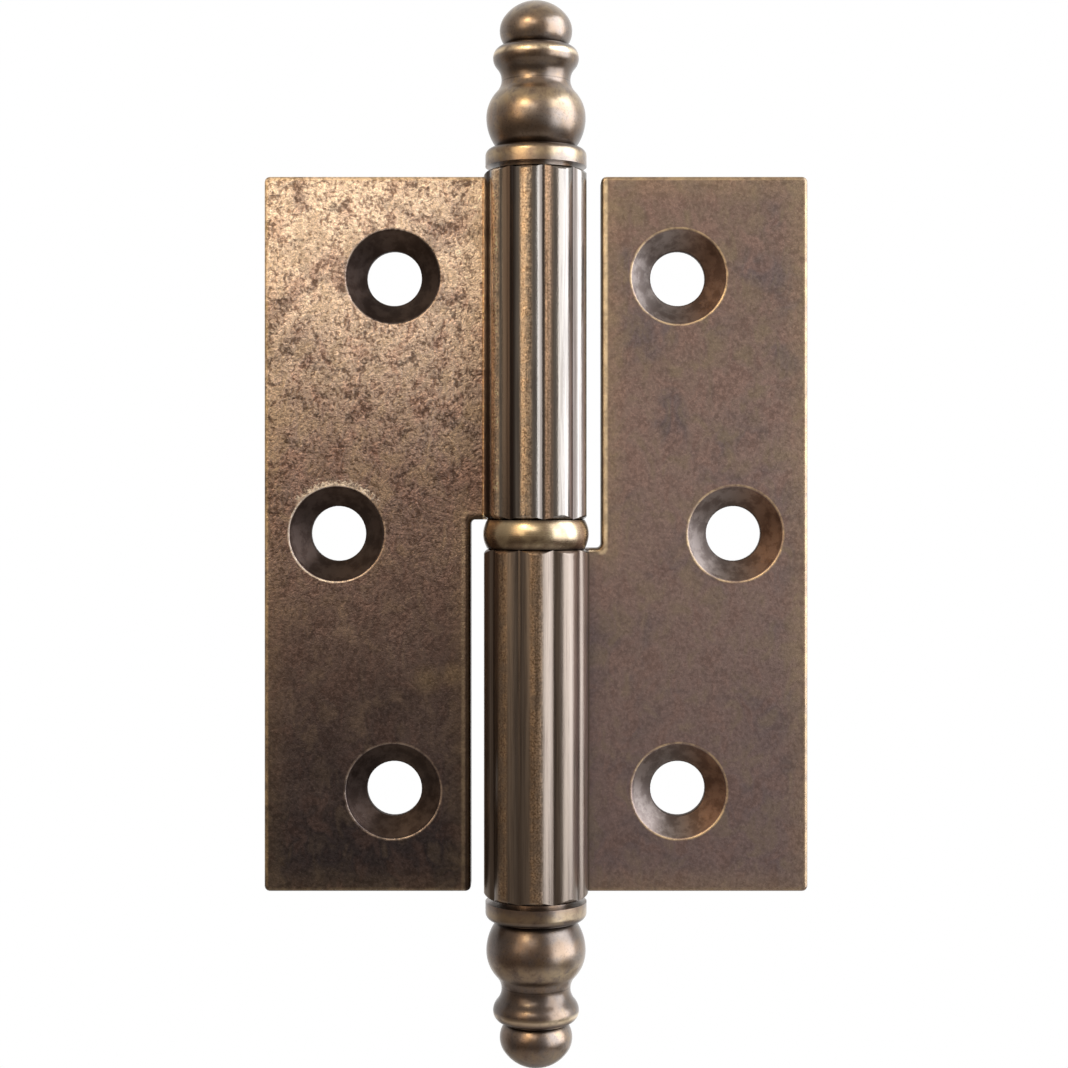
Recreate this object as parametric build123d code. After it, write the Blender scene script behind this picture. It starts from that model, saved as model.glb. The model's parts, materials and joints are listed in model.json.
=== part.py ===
# Decorative lift-off butt hinge: two brass leaves with reeded knuckles, a steel pin,
# a loose bearing ring and two turned finials. Millimetres, +Z up along the pin axis,
# origin on the axis at mid-height, -Y towards the countersunk front, +X to the frame side.

import os
from math import acos, asin, atan2, cos, degrees, radians, sin, sqrt, tan

from build123d import *

# Leaves
leaf_height = 80.0
leaf_reach = 30.4
leaf_thickness = 3.2
leaf_setback = 0.3
leaf_corner_radius = 0.6
leaf_front_round = 0.4
leaf_back_round = 0.2
cutback_gap = 1.45
cutback_corner_radius = 0.5

# Screw holes
screw_hole_diameter = 6.2
countersink_diameter = 10.7
countersink_angle = 90.0
countersink_edge_break = 0.15
end_screw_spacing = 57.6
end_screw_offset = 16.0
middle_screw_offset = 22.3

# Reeded knuckles
knuckle_radius = 5.85
knuckle_overhang = 0.5
knuckle_end_round = 0.9
turning_allowance = 0.05
reed_count = 9
reed_depth = 0.47
door_reed_turn = -11.0
frame_reed_turn = 0.0

# Bearing ring
ring_height = 3.2
ring_crest_radius = 5.9
ring_end_radius = 5.45
ring_bore_chamfer = 0.3

# Pin
pin_diameter = 6.5
pin_seat_length = 27.0
pin_rise = 26.0
pin_tip_round = 1.2
pin_foot_chamfer = 0.5
pin_tip_gap = 1.0

# Fits, all radial
running_clearance = 0.05
seat_clearance = 0.02

# Finials, heights measured along the axis
stem_diameter = 5.0
stem_length = 9.0
stem_chamfer = 0.6
stem_end_gap = 0.5
shoulder_radius = 4.1
shoulder_height = 0.45
flange_radius = 5.65
flange_side_height = 1.2
flange_round_height = 0.85
flange_round_width = 0.75
bulb_radius = 5.55
bulb_foot_curve = 5.4
bulb_curve = 4.1
bulb_rise = 3.45
neck_radius = 3.85
neck_curve = 2.0
bead_radius = 4.8
bead_flare_curve = 1.65
bead_curve = 1.3
ball_radius = 4.05
ball_half_height = 3.35
ball_side_curve = 2.6
ball_crease_radius = 3.4

# Derived places
leaf_end = leaf_height / 2
seam = ring_height / 2
knuckle_end = leaf_end + knuckle_overhang
knuckle_length = knuckle_end - seam
pin_radius = pin_diameter / 2
stem_radius = stem_diameter / 2
cutback = knuckle_radius + cutback_gap


def around(radius, angle):
    # A point about the pin axis, with the angle from the front towards +X.
    return (radius * sin(radians(angle)), -radius * cos(radians(angle)))


def leaf_plate():
    # The flat of one leaf, cut back below the seam to clear the other leaf's knuckle.
    inner_corner = (-cutback, seam)
    corners = [(0, leaf_end), (-leaf_reach, leaf_end), (-leaf_reach, -leaf_end)]
    corners += [(-cutback, -leaf_end), inner_corner, (0, seam)]
    outline = make_face(Polyline(*corners, close=True).edges())
    outer = outline.vertices().filter_by_position(Axis.X, -leaf_reach, -cutback)
    inner = outer.sort_by_distance(inner_corner)[0]
    outline = fillet([corner for corner in outer if corner != inner], leaf_corner_radius)
    inner = outline.vertices().sort_by_distance(inner_corner)[0]
    outline = fillet(inner, cutback_corner_radius)
    front = Plane.XZ.offset(-leaf_setback)
    plate = extrude(front * outline, amount=-leaf_thickness)
    plate = fillet(plate.faces().sort_by(Axis.Y)[0].edges(), leaf_front_round)
    return fillet(plate.faces().sort_by(Axis.Y)[-1].edges(), leaf_back_round)


def reeded_knuckle(turn):
    # Convex reeds side by side round the axis, with both ends turned round.
    pitch = 360 / reed_count
    groove_radius = knuckle_radius - reed_depth
    reeds = []
    for index in range(reed_count):
        crest = turn + index * pitch
        start = around(groove_radius, crest - pitch / 2)
        end = around(groove_radius, crest + pitch / 2)
        reeds.append(ThreePointArc(start, around(knuckle_radius, crest), end))
    column = extrude(Pos(0, 0, seam) * make_face(reeds), amount=knuckle_length)
    blank = Cylinder(knuckle_radius + turning_allowance, knuckle_length)
    blank = fillet(blank.edges().filter_by(GeomType.CIRCLE), knuckle_end_round)
    return column & Pos(0, 0, seam + knuckle_length / 2) * blank


def rod(radius, bottom, top):
    return Pos(0, 0, (bottom + top) / 2) * Cylinder(radius, top - bottom)


def screw_hole(across, height):
    # A through hole with its countersink in the front face.
    hole_radius = screw_hole_diameter / 2
    sink_radius = countersink_diameter / 2
    sink_depth = (sink_radius - hole_radius) / tan(radians(countersink_angle / 2))
    outline = Polyline(
        (0, 0),
        (sink_radius + countersink_edge_break, 0),
        (sink_radius - countersink_edge_break, -countersink_edge_break),
        (hole_radius, -sink_depth),
        (hole_radius, -leaf_thickness),
        (0, -leaf_thickness),
        close=True,
    )
    cutter = revolve(Plane.XZ * make_face(outline.edges()), Axis.Z)
    return Pos(across, leaf_setback, height) * Rot(90, 0, 0) * cutter


def leaf_with_knuckle(turn, bore_radius, bore_depth):
    # The leaf on the -X side with its knuckle above the seam.
    leaf = leaf_plate() + reeded_knuckle(turn)
    leaf -= rod(bore_radius, seam, seam + bore_depth)
    leaf -= rod(stem_radius + seat_clearance, knuckle_end - stem_length - stem_end_gap, knuckle_end)
    for across, height in (
        (end_screw_offset, end_screw_spacing / 2),
        (middle_screw_offset, 0),
        (end_screw_offset, -end_screw_spacing / 2),
    ):
        leaf -= screw_hole(-across, height)
    return leaf


def bearing_ring():
    bore_radius = pin_radius + running_clearance
    barrel = ThreePointArc((ring_end_radius, -seam), (ring_crest_radius, 0), (ring_end_radius, seam))
    bore = Polyline(
        (ring_end_radius, seam),
        (bore_radius + ring_bore_chamfer, seam),
        (bore_radius, seam - ring_bore_chamfer),
        (bore_radius, ring_bore_chamfer - seam),
        (bore_radius + ring_bore_chamfer, -seam),
        (ring_end_radius, -seam),
    )
    return revolve(Plane.XZ * make_face([barrel] + bore.edges()), Axis.Z)


def hinge_pin():
    pin = rod(pin_radius, -seam - pin_seat_length, seam + pin_rise)
    pin = fillet(pin.edges().sort_by(Axis.Z)[-1], pin_tip_round)
    return chamfer(pin.edges().sort_by(Axis.Z)[0], pin_foot_chamfer)


def finial():
    # The upper finial in place: a stem, a round-edged flange, then bulb, neck and bead
    # as five arcs tangent to each other, and a flattened ball of two arcs on top.
    seat = knuckle_end
    flange_bottom = seat + shoulder_height
    round_start = flange_bottom + flange_side_height
    flange_top = round_start + flange_round_height

    bulb_height = flange_top + bulb_rise
    bulb = (bulb_radius - bulb_curve, bulb_height)
    foot = (bulb_radius - bulb_foot_curve, bulb_height)
    neck_across = neck_radius + neck_curve
    neck_rise = sqrt((bulb_curve + neck_curve) ** 2 - (neck_across - bulb[0]) ** 2)
    neck = (neck_across, bulb_height + neck_rise)
    flare_across = bead_radius - bead_flare_curve
    flare_rise = sqrt((bead_flare_curve + neck_curve) ** 2 - (neck_across - flare_across) ** 2)
    flare = (flare_across, neck[1] + flare_rise)
    bead_across = bead_radius - bead_curve
    bead = (bead_across, flare[1])
    foot_angle = -degrees(asin(bulb_rise / bulb_foot_curve))
    bulb_angle = degrees(atan2(neck_rise, neck_across - bulb[0]))
    flare_angle = -degrees(atan2(flare_rise, neck_across - flare_across))
    crease_angle = degrees(acos((ball_crease_radius - bead_across) / bead_curve))
    foot_arc = CenterArc(foot, bulb_foot_curve, foot_angle, -foot_angle)
    bulb_arc = CenterArc(bulb, bulb_curve, 0, bulb_angle)
    neck_arc = CenterArc(neck, neck_curve, 180 + bulb_angle, flare_angle - bulb_angle)
    flare_arc = CenterArc(flare, bead_flare_curve, flare_angle, -flare_angle)
    bead_arc = CenterArc(bead, bead_curve, 0, crease_angle)

    ball_across = ball_radius - ball_side_curve
    crease_start = -degrees(acos((ball_crease_radius - ball_across) / ball_side_curve))
    ball_height = (bead_arc @ 1).Y - ball_side_curve * sin(radians(crease_start))
    crown_lift = ball_half_height - ball_side_curve
    crown_drop = (ball_across**2 - crown_lift**2) / (2 * crown_lift)
    crown_angle = degrees(atan2(crown_drop, ball_across))
    ball_centre = (ball_across, ball_height)
    ball_side = CenterArc(ball_centre, ball_side_curve, crease_start, crown_angle - crease_start)
    crown_centre = (0, ball_height - crown_drop)
    crown = CenterArc(crown_centre, ball_half_height + crown_drop, crown_angle, 90 - crown_angle)

    stem_bottom = seat - stem_length
    lower = Polyline(
        crown @ 1,
        (0, stem_bottom),
        (stem_radius - stem_chamfer, stem_bottom),
        (stem_radius, stem_bottom + stem_chamfer),
        (stem_radius, seat),
        (shoulder_radius, seat),
        (shoulder_radius, flange_bottom),
        (flange_radius, flange_bottom),
        (flange_radius, round_start),
    )
    flange_round = TangentArc(
        (flange_radius, round_start), (flange_radius - flange_round_width, flange_top), tangent=(0, 1)
    )
    ledge = Line(flange_round @ 1, foot_arc @ 0)
    turned = [flange_round, ledge, foot_arc, bulb_arc, neck_arc, flare_arc, bead_arc, ball_side, crown]
    return revolve(Plane.XZ * make_face(lower.edges() + turned), Axis.Z)


turn_over = Rot(0, 180, 0)
pieces = {
    "door_leaf": leaf_with_knuckle(door_reed_turn, pin_radius + running_clearance, pin_rise + pin_tip_gap),
    "frame_leaf": turn_over * leaf_with_knuckle(
        -frame_reed_turn, pin_radius + seat_clearance, pin_seat_length
    ),
    "bearing_ring": bearing_ring(),
    "hinge_pin": hinge_pin(),
    "upper_finial": finial(),
    "lower_finial": turn_over * finial(),
}

os.makedirs("parts", exist_ok=True)
for name, piece in pieces.items():
    export_step(piece, f"parts/{name}.step")
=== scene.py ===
import json
import math
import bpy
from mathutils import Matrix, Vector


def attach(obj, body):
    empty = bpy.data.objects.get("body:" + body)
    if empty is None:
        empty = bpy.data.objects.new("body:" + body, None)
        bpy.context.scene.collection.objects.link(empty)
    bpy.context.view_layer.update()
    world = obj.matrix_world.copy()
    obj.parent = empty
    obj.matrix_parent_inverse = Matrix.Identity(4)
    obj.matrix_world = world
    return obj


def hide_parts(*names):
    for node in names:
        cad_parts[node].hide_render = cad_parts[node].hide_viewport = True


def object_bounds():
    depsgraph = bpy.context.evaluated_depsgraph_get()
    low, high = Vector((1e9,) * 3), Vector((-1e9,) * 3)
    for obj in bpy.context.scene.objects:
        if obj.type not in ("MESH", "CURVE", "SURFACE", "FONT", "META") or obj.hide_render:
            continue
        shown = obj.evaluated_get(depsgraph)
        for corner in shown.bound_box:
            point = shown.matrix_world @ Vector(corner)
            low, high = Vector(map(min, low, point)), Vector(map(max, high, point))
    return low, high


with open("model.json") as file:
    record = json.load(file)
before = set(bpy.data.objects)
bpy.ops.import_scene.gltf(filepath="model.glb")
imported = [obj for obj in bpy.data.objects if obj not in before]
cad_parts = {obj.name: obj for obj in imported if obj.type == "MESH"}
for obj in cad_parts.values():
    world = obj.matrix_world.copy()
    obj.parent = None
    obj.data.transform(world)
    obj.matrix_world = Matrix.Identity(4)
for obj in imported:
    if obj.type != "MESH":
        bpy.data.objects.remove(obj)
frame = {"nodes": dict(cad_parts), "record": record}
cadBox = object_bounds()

from types import SimpleNamespace

import bpy

bpy.context.scene.view_settings.view_transform = "Standard"
mounts = {mount["name"]: mount for mount in frame["record"]["mounts"]}
mmPerMetre = 1000.0
noiseMiddle = 0.5
mixSockets = {"factor": 0, "under": 6, "over": 7, "result": 2}    # a Mix node's colour sockets


# a socket that adds Math nodes when it is used in an expression
class Wire:
    def __init__(self, nodes, socket):
        self.nodes = nodes
        self.socket = socket

    def math(self, operation, *others):
        inputs = dict(enumerate((self,) + others))
        return self.nodes.add("ShaderNodeMath", {"operation": operation}, inputs)

    def __add__(self, other):
        return self.math("ADD", other)

    def __sub__(self, other):
        return self.math("SUBTRACT", other)

    def __rsub__(self, other):
        return self.nodes.add("ShaderNodeMath", {"operation": "SUBTRACT"}, {0: other, 1: self})

    def __mul__(self, other):
        return self.math("MULTIPLY", other)

    def __pow__(self, other):
        return self.math("POWER", other)

    def __abs__(self):
        return self.math("ABSOLUTE")

    def __neg__(self):
        return self.math("MULTIPLY", -1.0)

    __radd__ = __add__
    __rmul__ = __mul__

    def least(self, other):
        return self.math("MINIMUM", other)

    def most(self, other):
        return self.math("MAXIMUM", other)

    # eased from 0 at the start of a span to 1 at its end
    def rise(self, span):
        settings = {"interpolation_type": "SMOOTHSTEP"}
        inputs = {"Value": self, "From Min": span[0], "From Max": span[1]}
        return self.nodes.add("ShaderNodeMapRange", settings, inputs)

    # eased from 1 at the start of a span to 0 at its end
    def fall(self, span):
        return 1.0 - self.rise(span)

    # a mask from 0 to 1, lifted so that it starts at low
    def atLeast(self, low):
        return low + (1.0 - low) * self

    # a noise to either side of nothing
    def swing(self, amount):
        return amount * (self - noiseMiddle)

    # every output of this wire's node, by name
    def outputs(self):
        return {socket.name: Wire(self.nodes, socket) for socket in self.socket.node.outputs}


# ways to add nodes to a tree
class Nodes:
    def __init__(self, tree):
        self.tree = tree

    def add(self, kind, settings=None, inputs=None, output=0):
        node = self.tree.nodes.new(kind)
        for key, value in (settings or {}).items():
            setattr(node, key, value)
        for key, value in (inputs or {}).items():
            self.feed(node.inputs[key], value)
        return Wire(self, node.outputs[output] if node.outputs else None)

    # a link or a fixed value for one socket
    def feed(self, socket, value):
        if isinstance(value, Wire):
            self.tree.links.new(value.socket, socket)
        else:
            socket.default_value = value

    def parts(self, vector):
        split = self.add("ShaderNodeSeparateXYZ", None, {0: vector})
        return list(split.outputs().values())

    def stretch(self, vector, scale):
        return self.add("ShaderNodeVectorMath", {"operation": "MULTIPLY"}, {0: vector, 1: scale})

    def noise(self, vector, scale, detail=2.0, rough=0.5, distort=0.0):
        inputs = {"Vector": vector, "Scale": scale, "Detail": detail}
        inputs.update({"Roughness": rough, "Distortion": distort})
        return self.add("ShaderNodeTexNoise", None, inputs)

    # noise drawn out into rings about the pin axis
    def rings(self, x, y, z, across, settings):
        point = self.add("ShaderNodeCombineXYZ", None, {0: length2(x, y) * across, 1: 0.0, 2: z})
        return self.noise(point, *settings)

    def tint(self, factor, under, over, blend="MIX"):
        settings = {"data_type": "RGBA", "clamp_factor": True, "blend_type": blend}
        inputs = {mixSockets["factor"]: factor}
        for key, colour in (("under", under), ("over", over)):
            inputs[mixSockets[key]] = colour if isinstance(colour, Wire) else (*colour, 1.0)
        return self.add("ShaderNodeMix", settings, inputs, mixSockets["result"])

    # darkens or lightens a colour by its own amount
    def shade(self, factor, colour, by):
        return self.tint(factor, colour, by, "MULTIPLY")

    # rays that mirror or pass through something
    def shinyRays(self, rays):
        return rays["Is Glossy Ray"].most(rays["Is Transmission Ray"])


# one node material with its Principled shader
class Finish(Nodes):
    def __init__(self, name):
        self.material = bpy.data.materials.new(name)
        self.material.use_nodes = True
        self.shader = self.material.node_tree.nodes["Principled BSDF"]
        super().__init__(self.material.node_tree)

    # object coordinates in millimetres, turned about Y where a piece is the other one turned over
    def place(self, turnY=0.0):
        point = self.add("ShaderNodeTexCoord", output="Object")
        inputs = {"Vector": point, "Scale": (mmPerMetre,) * 3, "Rotation": (0, turnY, 0)}
        return self.add("ShaderNodeMapping", None, inputs)

    # bump of a height, with its strength and its depth in metres
    def bump(self, height, strength, depth):
        inputs = {"Height": height, "Strength": strength, "Distance": depth}
        return self.add("ShaderNodeBump", None, inputs)

    def surface(self, **inputs):
        for key, value in inputs.items():
            self.feed(self.shader.inputs[key.replace("_", " ")], value)
        return self.material


def length2(a, b):
    return (a * a + b * b) ** 0.5


# sizes of a leaf that its finish follows, in millimetres
leafSizes = {
    "sinkRadius": 5.4,
    "holeRadius": 3.1,
    "reach": 30.4,
    "end": 40.0,
    "cutback": 7.3,
    "seam": 1.6,
    "front": 0.3,
    "thickness": 3.2,
    "knuckleRadius": 5.85,
    "reedCount": 9,
    # over what span one part gives way to the next
    "backSpan": (-0.25, -0.05),
    "sinkSpan": (-0.25, -0.05),
    "farSpan": (0.0, 0.2),
    "boreSpan": (0.02, 0.12),
    "knuckleSpan": (0.02, 0.2),
    "edgeInset": 0.1,
}

# the door leaf is sandy gold at its head and dark at its foot: partly rubbed patina, partly a painted
# highlight at the head and painted shade at the foot
doorLook = {
    "turned": False,
    "foot": (0.065, 0.054, 0.058),
    "middle": (0.222, 0.155, 0.132),
    "head": (0.890, 0.720, 0.590),
    "smoke": (0.190, 0.145, 0.138),
    "smokeShare": 0.62,
    "olive": (0.330, 0.245, 0.155),
    "oliveShare": 0.45,
    "rose": (0.440, 0.275, 0.225),
    "roseShare": 0.45,
    "oliveSpots": ((12.2, -16.3, 2.4), (9.3, -15.7, 2.0)),    # out, up, reach
    "stainShare": 0.70,
    "pitShare": 0.94,
    "glintShare": 0.90,
    "footGrain": 0.35,
    "grainHeight": 3.2,
    "sink": (0.130, 0.090, 0.070),
    "sinkFarShade": (0.086, 0.062, 0.053),
    "rim": (0.620, 0.480, 0.380),
    "rimShare": 0.50,
    "middleRim": 0.80,
    "fray": 0.85,
    "edgeTint": (0.500, 0.350, 0.190),
    "edgeShare": 0.12,
    "edgeWear": 0.60,
    "innerLine": 0.85,
    "innerWearAndHighlight": 0.22,
    "innerShade": 0.85,
    "rough": 0.36,
    "headRough": 0.12,
    "reedTurn": -11.0,
    "reed": (0.275, 0.248, 0.222),
    "reedCrest": (0.540, 0.400, 0.275),
    "outerCrestHighlight": (1.000, 0.740, 0.500),
    "crestShare": 0.95,
    "flankShare": 0.85,
    "outerShadeShare": 0.82,
    "groove": (-1.0, -0.45),
    "grooveShare": 0.75,
    "reedRough": 0.20,
}

# the frame leaf is an even worn brown
frameLook = {
    "turned": True,
    "foot": (0.252, 0.186, 0.180),
    "middle": (0.300, 0.218, 0.196),
    "head": (0.246, 0.179, 0.151),
    "smoke": (0.178, 0.145, 0.154),
    "smokeShare": 0.80,
    "olive": (0.250, 0.197, 0.142),
    "oliveShare": 0.65,
    "rose": (0.345, 0.230, 0.200),
    "roseShare": 0.55,
    "oliveSpots": (),
    "stainShare": 0.20,
    "pitShare": 0.24,
    "glintShare": 0.32,
    "footGrain": 0.75,
    "grainHeight": 0.5,
    "sink": (0.320, 0.270, 0.245),
    "sinkFarShade": (0.330, 0.200, 0.138),
    "rim": (0.800, 0.600, 0.360),
    "rimShare": 0.75,
    "middleRim": 0.0,
    "fray": 0.0,
    "edgeTint": (0.440, 0.320, 0.190),
    "edgeShare": 0.28,
    "edgeWear": 0.55,
    "innerLine": 0.50,
    "innerWearAndHighlight": 1.0,
    "innerShade": 0.70,
    "rough": 0.45,
    "headRough": 0.0,
    "reedTurn": 0.0,
    "reed": (0.235, 0.190, 0.156),
    "reedCrest": (0.370, 0.245, 0.145),
    "outerCrestHighlight": (0.370, 0.245, 0.145),
    "crestShare": 0.70,
    "flankShare": 0.0,
    "outerShadeShare": 0.0,
    "groove": (-1.0, -0.72),
    "grooveShare": 0.40,
    "reedRough": 0.29,
}

# metal that both leaves share; the last three multiply the colour under them
leafMetal = {
    "gold": (0.740, 0.540, 0.300),
    "brightGold": (0.960, 0.760, 0.500),
    "copper": (0.700, 0.500, 0.375),
    "cream": (1.000, 0.880, 0.740),
    # dark patina in drawn lines and grooves, and painted shade in the bores, on the outer reeds and down
    # the cut-back wall
    "sootAndShade": (0.045, 0.031, 0.025),
    "stainGrey": (0.54, 0.57, 0.60),
    "pitDark": (0.38, 0.33, 0.31),
    "glintLight": (1.60, 1.57, 1.53),
}

# noises of the leaves: waves per millimetre, detail, roughness, distortion
leafNoise = {
    "patch": (0.13, 3.5, 0.55, 0.6),
    "cloud": (0.36, 2.5, 0.55, 0.8),
    "cluster": (0.75, 4.0, 0.65),
    "speck": (2.4, 3.5, 0.68, 0.15),
    "fine": (4.6, 2.0, 0.6),
    "drawn": (0.8, 3.0, 0.6),
    "rub": (0.6, 4.0, 0.65),
}
leafStretch = {"cloud": (1.2, 1.0, 0.8), "drawn": (4.0, 4.0, 0.10)}


def makeNoises(finish, point):
    noise = SimpleNamespace()
    for name, settings in leafNoise.items():
        drawnOut = finish.stretch(point, leafStretch[name]) if name in leafStretch else point
        setattr(noise, name, finish.noise(drawnOut, *settings))
    return noise


# where a point of a leaf lies: distances in millimetres, and masks from 0 to 1
def findPlaces(finish, look, screws):
    size = leafSizes
    at = SimpleNamespace()
    at.point = finish.place(math.pi if look["turned"] else 0.0)
    x, y, at.z = finish.parts(at.point)
    at.up = -at.z if look["turned"] else at.z
    at.out = -x                                      # from the pin axis along the leaf
    at.lift = y - size["front"]                      # behind the front face
    at.back = (at.lift - size["thickness"]).rise(size["backSpan"])
    at.front = 1.0 - at.back

    at.hole = None                                   # from the nearest screw
    at.far = 0.0                                     # across a countersink, away from the pin
    for across, height in screws:
        reach = length2(at.out - across, at.z - height)
        at.hole = reach if at.hole is None else at.hole.least(reach)
        inside = (reach - size["sinkRadius"]).fall(size["farSpan"])
        at.far = at.far + (at.out - across) * inside
    at.outside = at.hole - size["sinkRadius"]
    at.rim = length2(at.outside, at.lift)
    at.sink = at.outside.fall(size["sinkSpan"]) * at.front
    at.bore = (at.hole - size["holeRadius"]).fall(size["boreSpan"])

    at.beside = at.out - size["cutback"]
    at.inner = length2(at.beside.most(0.0), (at.z - size["seam"]).most(0.0))
    at.edge = (size["reach"] - at.out).least(size["end"] - abs(at.z)).least(at.inner)
    at.edgeLine = length2(at.edge - size["edgeInset"], at.lift - size["edgeInset"])
    at.knuckle = (length2(x, y) - size["knuckleRadius"]).fall(size["knuckleSpan"])
    at.plate = 1.0 - at.knuckle
    at.around = x.math("ARCTAN2", -y)                # radians from the front, towards +X
    turned = at.around - math.radians(look["reedTurn"])
    at.reed = (turned * size["reedCount"]).math("COSINE")    # 1 on a crest, -1 in a groove
    return at


# levels and spans of the wear: heights in millimetres, angles in radians, and levels of the noises
wearLevels = {
    "patchSwing": 16.0,
    "cloudSwing": 7.0,
    "head": (-26.0, 34.0),
    "grain": (-18.0, 16.0),
    "backDull": 0.5,
    "glint": (0.50, 0.62),
    "glintSpeck": 0.4,
    "glintFine": 0.6,
    "worn": (0.36, 0.64),
    "handledAndLitSide": (0.15, 0.50),
    "crest": (0.20, 0.85),
    "crestRub": (0.35, 0.62),
    "crestLeast": 0.5,
    "flankStart": (0.12, 0.22),
    "flankEnd": (0.26, 0.37),
    "flankLeast": 0.6,
}


# masks that the colour, the roughness and the bump of a leaf share
def findWear(look, at, noise):
    level = wearLevels
    at.tone = at.up + noise.patch.swing(level["patchSwing"]) + noise.cloud.swing(level["cloudSwing"])
    at.head = at.tone.rise(level["head"])
    at.grain = at.tone.rise(level["grain"]).atLeast(look["footGrain"])
    at.grain = at.grain * (1.0 - level["backDull"] * at.back)
    at.glint = noise.speck * level["glintSpeck"] + noise.fine * level["glintFine"]
    at.glint = at.glint.rise(level["glint"])
    at.worn = noise.rub.rise(level["worn"])

    # crests lighter on the front and the leaf's own side, and a copper flank at one turn of the door
    # knuckle: partly rubbed metal, partly painted highlight
    handledAndLitSide = (-at.around if look["turned"] else at.around).fall(level["handledAndLitSide"])
    polished = noise.rub.rise(level["crestRub"]).atLeast(level["crestLeast"])
    at.crest = at.reed.rise(level["crest"]) * handledAndLitSide * polished * look["crestShare"]
    at.flank = at.around.rise(level["flankStart"]) * at.around.fall(level["flankEnd"])
    at.flank = at.flank * noise.rub.atLeast(level["flankLeast"]) * look["flankShare"]
    at.rubbed = at.crest.most(at.flank)


# spans in millimetres, levels of the noises, and shares
plateLevels = {
    "middle": (-38.0, 2.0),
    "top": (3.0, 36.0),
    "smoke": (0.48, 0.68),
    "olive": (0.48, 0.70),
    "rose": (0.34, 0.52),
    "spotSwing": 1.5,
    "spotShare": 0.55,
    "backShare": 0.8,
    "edge": (0.2, 3.5),
    "fray": (0.15, 0.75),
    "fraySwing": 2.6,
    "frayStart": (-0.10, 0.05),
    "frayFoot": (3.0, 4.8),
    "frayTop": (6.6, 7.4),
    "stain": (0.34, 0.48),
    "stainCloud": 0.4,
    "pit": (0.36, 0.54),
    "pitCluster": 0.38,
    "pitCloud": 0.25,
}


# foot to head, then smoke, olive and rose clouds, stains, pits and glints
def colourPlate(finish, look, at, noise):
    level = plateLevels
    # foot to head tones: on the door leaf partly patina, partly a painted highlight at the head and painted
    # shade at the foot
    colour = finish.tint(at.tone.rise(level["middle"]), look["foot"], look["middle"])
    colour = finish.tint(at.tone.rise(level["top"]), colour, look["head"])
    clouds = {
        "smoke": noise.patch.rise(level["smoke"]),
        "olive": noise.cloud.rise(level["olive"]),
        "rose": noise.cloud.fall(level["rose"]),
    }
    for name, mask in clouds.items():
        colour = finish.tint(mask * at.grain * look[name + "Share"], colour, look[name])
    for across, height, reach in look["oliveSpots"]:
        spot = length2(at.out - across, at.z - height) + noise.cloud.swing(level["spotSwing"])
        colour = finish.tint(spot.fall((0.0, reach)) * level["spotShare"], colour, look["olive"])
    colour = finish.tint(at.back * level["backShare"], colour, look["middle"])
    colour = finish.tint(at.edge.fall(level["edge"]) * look["edgeShare"], colour, look["edgeTint"])

    # the frayed upper rim of the middle hole
    fray = (at.outside + noise.fine.swing(level["fraySwing"])).fall(level["fray"])
    fray = fray * at.outside.rise(level["frayStart"]) * at.front
    fray = fray * at.z.rise(level["frayFoot"]) * at.z.fall(level["frayTop"])
    colour = finish.tint(fray * look["fray"], colour, leafMetal["cream"])

    stain = (noise.cluster + noise.cloud.swing(level["stainCloud"])).fall(level["stain"])
    colour = finish.shade(stain * at.grain * look["stainShare"], colour, leafMetal["stainGrey"])
    pit = noise.speck + noise.cluster.swing(level["pitCluster"]) + noise.cloud.swing(level["pitCloud"])
    pit = pit.fall(level["pit"])
    colour = finish.shade(pit * at.grain * look["pitShare"], colour, leafMetal["pitDark"])
    return finish.shade(at.glint * at.grain * look["glintShare"], colour, leafMetal["glintLight"])


# angles in radians, heights between groove and crest, and levels of the noises
reedLevels = {
    "innerSide": (-0.75, -0.35),
    "drawn": (0.36, 0.56),
    "drawnShare": 0.30,
    "outerReed": (-0.40, 0.50),
    "outerSide": (-0.46, -0.37),
    "pit": (0.36, 0.52),
}


# polished reeds with lighter crests and a copper flank, partly rubbed metal and partly painted highlight, a
# brighter painted highlight on the outer crests, and dark grooves
def colourReeds(finish, look, at, noise):
    level = reedLevels
    # painted highlight: the outermost crests are brighter
    crestTone = finish.tint(at.around.rise(level["innerSide"]), look["outerCrestHighlight"], look["reedCrest"])
    colour = finish.tint(at.crest, look["reed"], crestTone)
    colour = finish.tint(at.flank, colour, leafMetal["copper"])
    lines = noise.drawn.fall(level["drawn"]) * level["drawnShare"]
    grooves = at.reed.fall(look["groove"]) * look["grooveShare"] * (1.0 - at.flank)
    # painted shade on the grooves and flanks of the door knuckle's reeds that turn towards its leaf
    outerShade = at.reed.fall(level["outerReed"]) * at.around.fall(level["outerSide"]) * look["outerShadeShare"]
    for mask in (lines, grooves, outerShade):
        colour = finish.tint(mask, colour, leafMetal["sootAndShade"])
    colour = finish.shade(at.rubbed * noise.fine.fall(level["pit"]), colour, leafMetal["pitDark"])
    return finish.shade(at.rubbed * at.glint, colour, leafMetal["glintLight"])


# spans in millimetres, levels of the noises, and shares
edgeLevels = {
    "cone": (-1.5, 4.0),
    "coneRub": (0.40, 0.60),
    "coneRubShare": 0.55,
    "boreShare": 0.8,
    "edge": (0.12, 0.50),
    "edgeLeast": 0.30,
    "edgeFoot": (-41.0, -38.0),
    "line": (0.05, 0.35),
    "lineDepth": (0.1, 0.8),
    "lineStart": (-0.6, 0.2),
    "lineLeast": 0.45,
    "wall": (-0.40, -0.15),
    "rim": (0.04, 0.20),
    "rimRub": (0.38, 0.62),
    "rimLeast": 0.25,
    "middleRim": (0.04, 0.16),
    "middleHeight": (6.0, 8.0),
    "middleOut": (18.0, 24.0),
    "middleLeast": 0.5,
}
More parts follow.
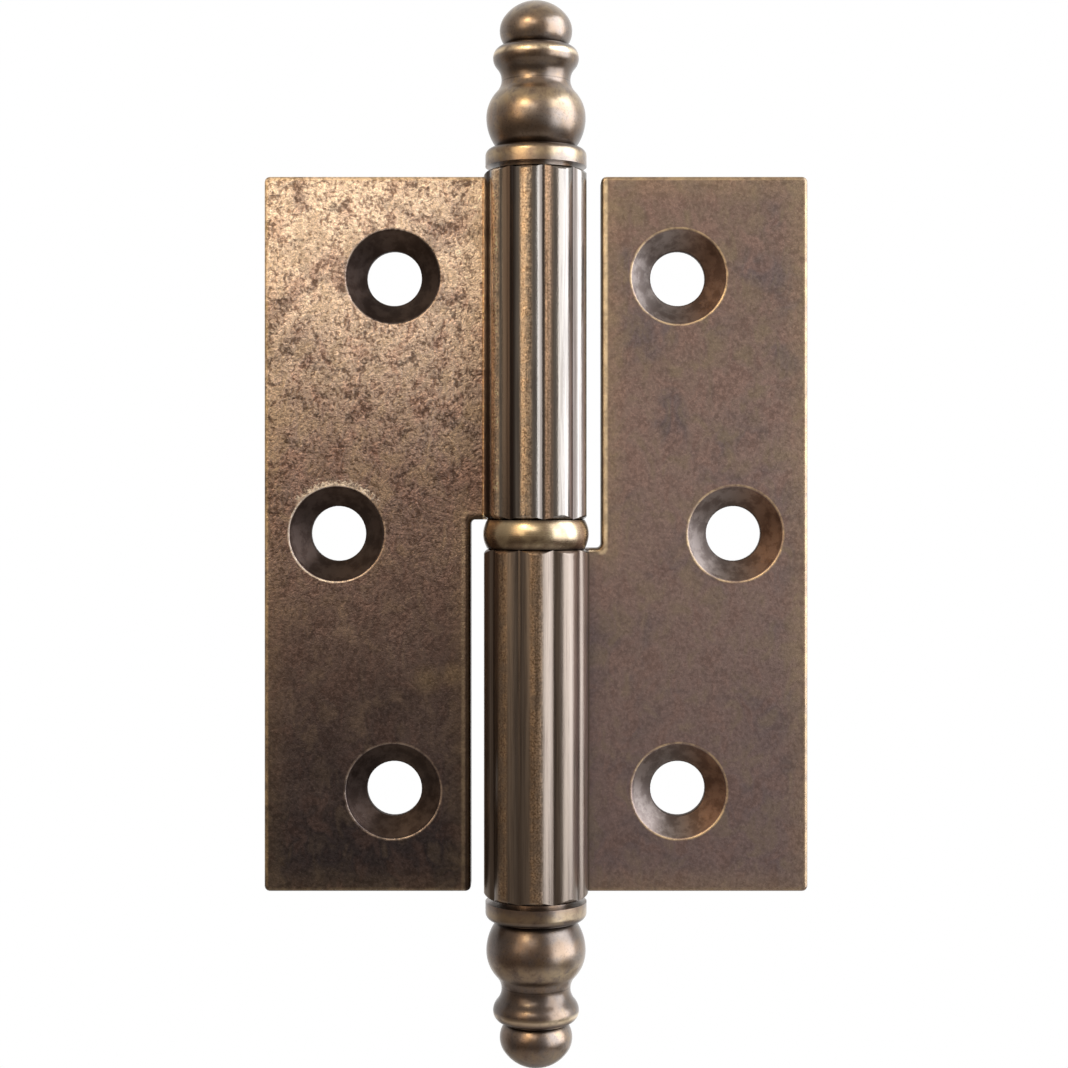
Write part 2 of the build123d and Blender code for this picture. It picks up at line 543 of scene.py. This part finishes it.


# countersinks with a painted highlight towards the pin and painted shade away from it, bores in painted
# shade, then the bright wear along the edges and rims
def colourEdges(finish, look, at, noise, colour):
    level = edgeLevels
    # painted highlight and shade across each cone: lighter on the side towards the pin, darker away from
    # it, under a real mottle
    cone = finish.tint(at.far.rise(level["cone"]), look["sink"], look["sinkFarShade"])
    mottled = noise.rub.fall(level["coneRub"]) * level["coneRubShare"]
    cone = finish.shade(mottled, cone, leafMetal["pitDark"])
    colour = finish.tint(at.sink, colour, cone)
    # painted shade down the bores
    colour = finish.tint(at.bore * level["boreShare"], colour, leafMetal["sootAndShade"])

    edge = at.edgeLine.fall(level["edge"]) * at.worn.atLeast(level["edgeLeast"])
    edge = edge * at.up.rise(level["edgeFoot"]) * at.plate
    colour = finish.tint(edge * look["edgeWear"], colour, leafMetal["gold"])

    # the cut-back edge: a bright line, partly wear and partly painted highlight, and painted shade from
    # there down its wall
    past = at.inner - look["innerLine"]
    line = abs(past).fall(level["line"]) * at.lift.fall(level["lineDepth"])
    line = line * at.worn.atLeast(level["lineLeast"]) * at.beside.rise(level["lineStart"]) * at.plate
    colour = finish.tint(line * look["innerWearAndHighlight"], colour, leafMetal["brightGold"])
    wall = past.fall(level["wall"]) * at.front * at.plate
    colour = finish.tint(wall * look["innerShade"], colour, leafMetal["sootAndShade"])

    rim = at.rim.fall(level["rim"]) * noise.rub.rise(level["rimRub"]).atLeast(level["rimLeast"])
    colour = finish.tint(rim * look["rimShare"], colour, look["rim"])
    middle = at.rim.fall(level["middleRim"]) * abs(at.z).fall(level["middleHeight"])
    middle = middle * at.out.rise(level["middleOut"]) * at.worn.atLeast(level["middleLeast"])
    return finish.tint(middle * look["middleRim"], colour, leafMetal["cream"])


# roughness and bump of the leaves, heights as shares of the bump's depth
leafSurface = {
    "cloudRough": 0.14,
    "speckRough": 0.16,
    "drawnRough": 0.12,
    "rubbedRough": 0.14,
    "coneRough": 0.28,
    "coneRubRough": 0.20,
    "boreRough": 0.3,
    "speckHeight": 0.6,
    "fineHeight": 0.4,
    "drawnHeight": 0.20,
    "reedHeight": 0.12,
    "rubbedHeight": 0.5,
    "ringPitch": 26.0,
    "ringHeight": 0.02,
    "bump": (0.5, 0.0001),
}


def roughenLeaf(look, at, noise):
    level = leafSurface
    plate = look["rough"] + look["headRough"] * at.head
    plate = plate + noise.cloud.swing(level["cloudRough"]) + noise.speck.swing(level["speckRough"])
    reeds = look["reedRough"] + noise.drawn.swing(level["drawnRough"]) + level["rubbedRough"] * at.rubbed
    cone = level["coneRough"] + level["coneRubRough"] * noise.rub
    rough = plate * at.plate + reeds * at.knuckle
    return rough * (1.0 - at.sink) + cone * at.sink + level["boreRough"] * at.bore


def raiseLeaf(look, at, noise):
    level = leafSurface
    plate = noise.speck * level["speckHeight"] + noise.fine * level["fineHeight"]
    plate = plate * at.grain * look["grainHeight"] * at.plate * (1.0 - at.sink)
    reeds = noise.fine * (level["reedHeight"] + level["rubbedHeight"] * at.rubbed)
    reeds = noise.drawn * level["drawnHeight"] + reeds
    rings = (at.hole * level["ringPitch"]).math("SINE") * at.sink
    return plate + reeds * at.knuckle + rings * level["ringHeight"]


def makeLeafBrass(name, look, screws):
    finish = Finish(name)
    at = findPlaces(finish, look, screws)
    noise = makeNoises(finish, at.point)
    findWear(look, at, noise)
    plate = colourPlate(finish, look, at, noise)
    colour = finish.tint(at.knuckle, plate, colourReeds(finish, look, at, noise))
    colour = colourEdges(finish, look, at, noise, colour)
    rough = roughenLeaf(look, at, noise)
    normal = finish.bump(raiseLeaf(look, at, noise), *leafSurface["bump"])
    return finish.surface(Base_Color=colour, Roughness=rough, Metallic=1.0, Normal=normal)


# satin turned brass of the finials, heights in millimetres
finialBrass = {
    "brown": (0.290, 0.202, 0.138),
    "grey": (0.245, 0.198, 0.166),
    "greyLevel": (0.38, 0.64),
    "amber": (0.420, 0.285, 0.150),
    "amberLevel": (0.54, 0.74),
    "amberShare": 0.55,
    # dark specks, and painted shade in the creases
    "sootAndShade": (0.050, 0.036, 0.028),
    "sootLevel": (0.34, 0.50),
    "sootShare": 0.28,
    "gold": (0.640, 0.490, 0.300),
    "goldLevel": (0.30, 0.60),
    "beadHighlightGold": (0.960, 0.770, 0.520),
    "beadLevel": (0.20, 0.55),
    # painted shade: the lower finial is darker on its left
    "lowerLeftShade": (0.66, 0.64, 0.67),
    "lowerHeight": (-1.0, 1.0),
    "lowerSide": (0.0, 3.0),
    # gold bands on the crests are partly wear and partly painted highlight, the bright bead band is painted
    # highlight, and the dark crease bands are painted shade
    # height, reach either side, share
    "crestWearAndHighlights": ((42.0, 1.1, 0.60), (48.2, 1.9, 0.60), (58.0, 2.0, 0.30)),
    "beadHighlights": ((53.45, 0.50, 0.90),),
    "creaseShade": (
        (43.0, 0.9, 0.85),
        (44.2, 1.9, 0.50),
        (50.4, 0.12, 0.50),
        (51.6, 2.0, 0.62),
        (54.4, 0.7, 0.85),
    ),
    # noises: waves per millimetre, detail, roughness, distortion
    "patch": (0.28, 4.0, 0.6, 0.6),
    "cloud": (0.7, 4.0, 0.62, 0.4),
    "grain": (3.6, 3.0, 0.65),
    "turning": (5.0, 3.0, 0.6),
    "turningAcross": 0.05,
    "rough": 0.32,
    "patchRough": 0.14,
    "turningRough": 0.10,
    "turningHeight": 0.25,
    "grainHeight": 0.4,
    "bump": (0.30, 0.00005),
    "coat": 0.5,
    "coatRough": 0.22,
}


def makeFinialBrass(name):
    look = finialBrass
    finish = Finish(name)
    point = finish.place()
    x, y, z = finish.parts(point)
    height = abs(z)
    patch = finish.noise(point, *look["patch"])
    cloud = finish.noise(point, *look["cloud"])
    grain = finish.noise(point, *look["grain"])
    turning = finish.rings(x, y, z, look["turningAcross"], look["turning"])
    colour = finish.tint(patch.rise(look["greyLevel"]), look["brown"], look["grey"])
    colour = finish.tint(cloud.rise(look["amberLevel"]) * look["amberShare"], colour, look["amber"])
    colour = finish.tint(grain.fall(look["sootLevel"]) * look["sootShare"], colour, look["sootAndShade"])
    # painted highlight and shade in bands around the finial, with wear on the crests
    bands = (
        (look["crestWearAndHighlights"], look["gold"], cloud.rise(look["goldLevel"])),
        (look["beadHighlights"], look["beadHighlightGold"], cloud.rise(look["beadLevel"])),
        (look["creaseShade"], look["sootAndShade"], 1.0),
    )
    for places, tone, mask in bands:
        for place, reach, share in places:
            band = abs(height - place).fall((0.0, reach)) * mask
            colour = finish.tint(band * share, colour, tone)
    # painted shade on the left of the lower finial
    lower = z.fall(look["lowerHeight"]) * x.fall(look["lowerSide"])
    colour = finish.shade(lower, colour, look["lowerLeftShade"])
    rough = look["rough"] + patch.swing(look["patchRough"]) + turning.swing(look["turningRough"])
    relief = turning * look["turningHeight"] + grain * look["grainHeight"]
    normal = finish.bump(relief, *look["bump"])
    finish.surface(Coat_Weight=look["coat"], Coat_Roughness=look["coatRough"])
    return finish.surface(Base_Color=colour, Roughness=rough, Metallic=1.0, Normal=normal)


# polished bearing ring, heights in millimetres
ringBrass = {
    "yellow": (0.550, 0.440, 0.285),
    "brown": (0.285, 0.195, 0.125),
    "brownLevel": (0.42, 0.74),
    "brownShare": 0.7,
    # painted shade: the ring's lower half is a darker brown, patchy at random
    "lower": (0.170, 0.112, 0.075),
    "lowerHeight": (-0.9, 0.2),
    "lowerLevel": (0.25, 0.60),
    "lowerShare": 0.8,
    "sootAndShade": (0.06, 0.04, 0.03),
    # painted shade at both ends of the ring
    "ends": (1.15, 1.6),
    "endShare": 0.85,
    "patch": (0.5, 4.0, 0.6, 0.5),
    "turning": (9.0, 3.0, 0.6),
    "turningAcross": 0.1,
    "rough": 0.26,
    "patchRough": 0.10,
    "turningRough": 0.08,
    "bump": (0.10, 0.00004),
}


def makeRingBrass(name):
    look = ringBrass
    finish = Finish(name)
    point = finish.place()
    x, y, z = finish.parts(point)
    patch = finish.noise(point, *look["patch"])
    turning = finish.rings(x, y, z, look["turningAcross"], look["turning"])
    colour = finish.tint(patch.rise(look["brownLevel"]) * look["brownShare"], look["yellow"], look["brown"])
    # painted shade: the ring's lower half is a darker brown, patchy at random
    lower = z.fall(look["lowerHeight"]) * patch.rise(look["lowerLevel"]) * look["lowerShare"]
    colour = finish.tint(lower, colour, look["lower"])
    # painted shade at both ends of the ring, against the knuckles
    colour = finish.tint(abs(z).rise(look["ends"]) * look["endShare"], colour, look["sootAndShade"])
    rough = look["rough"] + patch.swing(look["patchRough"]) + turning.swing(look["turningRough"])
    normal = finish.bump(turning, *look["bump"])
    return finish.surface(Base_Color=colour, Roughness=rough, Metallic=1.0, Normal=normal)


# ground steel pin, lightly oiled
pinSteel = {
    "steel": (0.52, 0.51, 0.50),
    "oil": (0.30, 0.25, 0.20),
    "oilLevel": (0.45, 0.7),
    "oilShare": 0.6,
    "patch": (0.35, 3.0, 0.6),
    "grinding": (8.0, 3.0, 0.6),
    "grindingAcross": 0.1,
    "rough": 0.28,
    "grindingRough": 0.2,
    "bump": (0.2, 0.00004),
}


def makePinSteel(name):
    look = pinSteel
    finish = Finish(name)
    point = finish.place()
    x, y, z = finish.parts(point)
    patch = finish.noise(point, *look["patch"])
    grinding = finish.rings(x, y, z, look["grindingAcross"], look["grinding"])
    colour = finish.tint(patch.rise(look["oilLevel"]) * look["oilShare"], look["steel"], look["oil"])
    rough = look["rough"] + grinding.swing(look["grindingRough"])
    normal = finish.bump(grinding, *look["bump"])
    return finish.surface(Base_Color=colour, Roughness=rough, Metallic=1.0, Normal=normal)


# screw places of one leaf, seen as out from the pin and up, in millimetres
def screwPlaces(side):
    ends = mounts[side + "_end_screws"]
    middle = mounts[side + "_middle_screw"]
    half = ends["dims"]["spacing_y_mm"] / 2
    out = abs(ends["pos_m"][0]) * mmPerMetre
    return [(out, half), (out, -half), (abs(middle["pos_m"][0]) * mmPerMetre, 0.0)]


# metres and degrees. Flats are faces of flatArea and more, with the faces that lie in their planes,
# and lead the shading of the roundings beside them; on the leaves, faces under smallArea follow the
# reeds and cones beside them
skinSizes = {
    "merge": 0.000002,
    "flatAngle": 0.4,
    "sharpAngle": 32.0,
    "flatArea": 0.00002,
    "smallArea": 0.00000021,
    "sameFacing": 0.99999,
    "samePlane": 0.000001,
}


# whether a face lies in the plane of a flat, which is a centre and a normal
def liesIn(face, flat):
    centre, normal = flat
    away = abs((face.center - centre).dot(normal))
    return face.normal.dot(normal) > skinSizes["sameFacing"] and away < skinSizes["samePlane"]


# how much a skin's chosen faces count in its shading
def markFaces(skin, strength, chosen):
    for face in skin.data.polygons:
        face.select = chosen(face)
    bpy.ops.object.mode_set(mode="EDIT")
    bpy.ops.mesh.mod_weighted_strength(set=True, face_strength=strength)
    bpy.ops.object.mode_set(mode="OBJECT")


# a clean smooth skin over a solid: merged, flat faces joined up, hard edges kept. A crisp one first
# drops the normals that the solid came with, which leave a few hard edges soft
def makeSkin(name, node, body, material, smallArea=0.0, crisp=False):
    skin = bpy.data.objects.new(name, frame["nodes"][node].data.copy())
    bpy.context.scene.collection.objects.link(skin)
    bpy.ops.object.select_all(action="DESELECT")
    skin.select_set(True)
    bpy.context.view_layer.objects.active = skin
    if crisp:
        bpy.ops.mesh.customdata_custom_splitnormals_clear()
    bpy.ops.object.mode_set(mode="EDIT")
    bpy.ops.mesh.select_mode(type="FACE")
    bpy.ops.mesh.select_all(action="SELECT")
    bpy.ops.mesh.remove_doubles(threshold=skinSizes["merge"])
    bpy.ops.mesh.dissolve_limited(angle_limit=math.radians(skinSizes["flatAngle"]))
    bpy.ops.object.mode_set(mode="OBJECT")
    bpy.ops.object.shade_smooth_by_angle(angle=math.radians(skinSizes["sharpAngle"]))
    large = [face for face in skin.data.polygons if face.area > skinSizes["flatArea"]]
    flats = [(face.center.copy(), face.normal.copy()) for face in large]    # outlast edit mode
    markFaces(skin, "WEAK", lambda face: face.area < smallArea)
    markFaces(skin, "STRONG", lambda face: any(liesIn(face, flat) for flat in flats))
    weigh = skin.modifiers.new("weighNormals", "WEIGHTED_NORMAL")
    weigh.mode = "CORNER_ANGLE"
    weigh.use_face_influence = True
    weigh.keep_sharp = True
    bpy.ops.object.modifier_apply(modifier=weigh.name)
    skin.data.materials.clear()
    skin.data.materials.append(material)
    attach(skin, body)
    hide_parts(node)
    print("skin", name, len(skin.data.polygons), "faces")


doorBrass = makeLeafBrass("doorLeafBrass", doorLook, screwPlaces("door"))
frameBrass = makeLeafBrass("frameLeafBrass", frameLook, screwPlaces("frame"))
turnedBrass = makeFinialBrass("turnedFinialBrass")
polishedBrass = makeRingBrass("polishedRingBrass")
groundSteel = makePinSteel("groundPinSteel")
print("finishes made")

makeSkin("doorLeaf", "door_leaf", "door", doorBrass, skinSizes["smallArea"])
makeSkin("frameLeaf", "frame_leaf", "frame", frameBrass, skinSizes["smallArea"])
makeSkin("bearingRing", "bearing_ring", "ring", polishedBrass)
makeSkin("hingePin", "hinge_pin", "frame", groundSteel)
makeSkin("upperFinial", "upper_finial", "door", turnedBrass, crisp=True)
makeSkin("lowerFinial", "lower_finial", "frame", turnedBrass, crisp=True)

# studio: a white surround behind, a darker room in front, and soft boxes
studio = {
    "white": (1.0, 1.0, 1.0),
    "roomBelow": (0.175, 0.145, 0.120),
    "roomAbove": (0.500, 0.455, 0.410),
    # directions, from -1 to 1
    "roomHeight": (-0.5, 0.9),
    "behind": (0.0, 0.45),
    "rightSide": (-0.7, 0.1),
    "leftLeast": 0.55,
    "lamps": {
        # name: degrees from the front towards +X, degrees up, distance, width, height, radiance, colour
        "rightWindow": (84.0, 16.0, 0.50, 0.28, 0.60, 4.6, (0.91, 0.97, 1.06)),
        "rightFill": (53.0, 12.0, 0.50, 0.26, 0.60, 3.5, (0.93, 0.98, 1.04)),
        "leftWarm": (-38.0, 19.0, 0.50, 0.24, 0.34, 1.7, (1.0, 0.78, 0.54)),
        "upperLeft": (-12.0, 26.0, 0.55, 0.22, 0.16, 2.7, (1.0, 0.92, 0.80)),
        "warmSpot": (-29.0, 34.0, 0.55, 0.10, 0.10, 18.0, (1.0, 0.78, 0.46)),
    },
}


# turns a lamp to face the middle of the hinge
def aimAtHinge(lamp):
    x, y, z = lamp.location
    lamp.rotation_euler = (math.atan2(math.hypot(x, y), z), 0.0, math.atan2(x, -y))


def makeLamps():
    for name, (aside, up, distance, width, height, radiance, colour) in studio["lamps"].items():
        side = math.radians(aside)
        rise = math.radians(up)
        flat = distance * math.cos(rise)
        spot = (flat * math.sin(side), -flat * math.cos(side), distance * math.sin(rise))
        bpy.ops.object.light_add(type="AREA", location=spot)
        lamp = bpy.context.object
        lamp.name = name
        lamp.data.shape = "RECTANGLE"
        lamp.data.size = width
        lamp.data.size_y = height
        lamp.data.energy = radiance * math.pi * width * height
        lamp.data.color = colour
        lamp.visible_camera = False
        aimAtHinge(lamp)


# the camera sees white all round, metal sees it behind the object, dimmer on the left
def makeRoom():
    world = bpy.data.worlds.new("studioRoom")
    world.use_nodes = True
    bpy.context.scene.world = world
    world.node_tree.nodes.clear()
    room = Nodes(world.node_tree)
    x, y, z = room.parts(room.add("ShaderNodeTexCoord"))
    rays = room.add("ShaderNodeLightPath").outputs()
    mirrored = y.rise(studio["behind"]) * x.rise(studio["rightSide"]).atLeast(studio["leftLeast"])
    seen = rays["Is Camera Ray"].most(room.shinyRays(rays) * mirrored)
    walls = room.tint(z.rise(studio["roomHeight"]), studio["roomBelow"], studio["roomAbove"])
    colour = room.tint(seen, walls, studio["white"])
    background = room.add("ShaderNodeBackground", None, {"Color": colour})
    room.add("ShaderNodeOutputWorld", None, {"Surface": background})


# pale floor well below the hinge; the metal sees it partly in shade
paleFloor = {
    "drop": 0.28,
    "size": 0.8,
    "grey": (0.60, 0.60, 0.60),
    "paleGrey": (0.64, 0.64, 0.64),
    "cloud": (0.004, 2.0),
    "rough": 0.8,
    "glow": 1.2,
    "glowShare": 0.75,
    "shade": (0.11, 0.09, 0.075, 1.0),
    "shadeShare": 0.3,
}


def makeFloor():
    look = paleFloor
    bpy.ops.object.select_all(action="DESELECT")
    low = cadBox[0][2] - look["drop"]
    bpy.ops.mesh.primitive_plane_add(size=look["size"], location=(0, 0, low))
    floor = bpy.context.object
    floor.name = "studioFloor"
    finish = Finish("paleFloor")
    cloud = finish.noise(finish.place(), *look["cloud"])
    finish.surface(Base_Color=finish.tint(cloud, look["grey"], look["paleGrey"]), Roughness=look["rough"])
    rays = finish.add("ShaderNodeLightPath").outputs()
    body = Wire(finish, finish.shader.outputs[0])
    glow = finish.add("ShaderNodeEmission", None, {"Strength": look["glow"]})
    shade = finish.add("ShaderNodeEmission", None, {"Color": look["shade"]})
    lit = rays["Is Camera Ray"] * look["glowShare"]
    seen = finish.add("ShaderNodeMixShader", None, {0: lit, 1: body, 2: glow})
    mirrored = finish.shinyRays(rays) * look["shadeShare"]
    both = finish.add("ShaderNodeMixShader", None, {0: mirrored, 1: seen, 2: shade})
    finish.feed(finish.tree.nodes["Material Output"].inputs["Surface"], both)
    floor.data.materials.append(finish.material)


# the photograph is square, and its frame is 119.3 mm wide at the pin axis
photo = {
    "pixels": 1068,
    "frameWidth": 0.1193,
    "distance": 0.215,
    "axisPixel": 536.0,
    "eyeHeight": 0.005,
    "sensorWidth": 36.0,
    "nearest": 0.005,
}


def makeCamera():
    camera = bpy.data.cameras.new("photoView")
    eye = bpy.data.objects.new("photoView", camera)
    bpy.context.scene.collection.objects.link(eye)
    aside = (photo["pixels"] / 2 - photo["axisPixel"]) / photo["pixels"] * photo["frameWidth"]
    eye.location = (aside, -photo["distance"], photo["eyeHeight"])
    eye.rotation_euler = (math.pi / 2, 0.0, 0.0)
    camera.sensor_width = photo["sensorWidth"]
    camera.lens = photo["sensorWidth"] * photo["distance"] / photo["frameWidth"]
    camera.shift_y = -photo["eyeHeight"] / photo["frameWidth"]
    camera.clip_start = photo["nearest"]
    bpy.context.scene.camera = eye


makeLamps()
makeRoom()
makeFloor()
makeCamera()
print("studio and camera made")
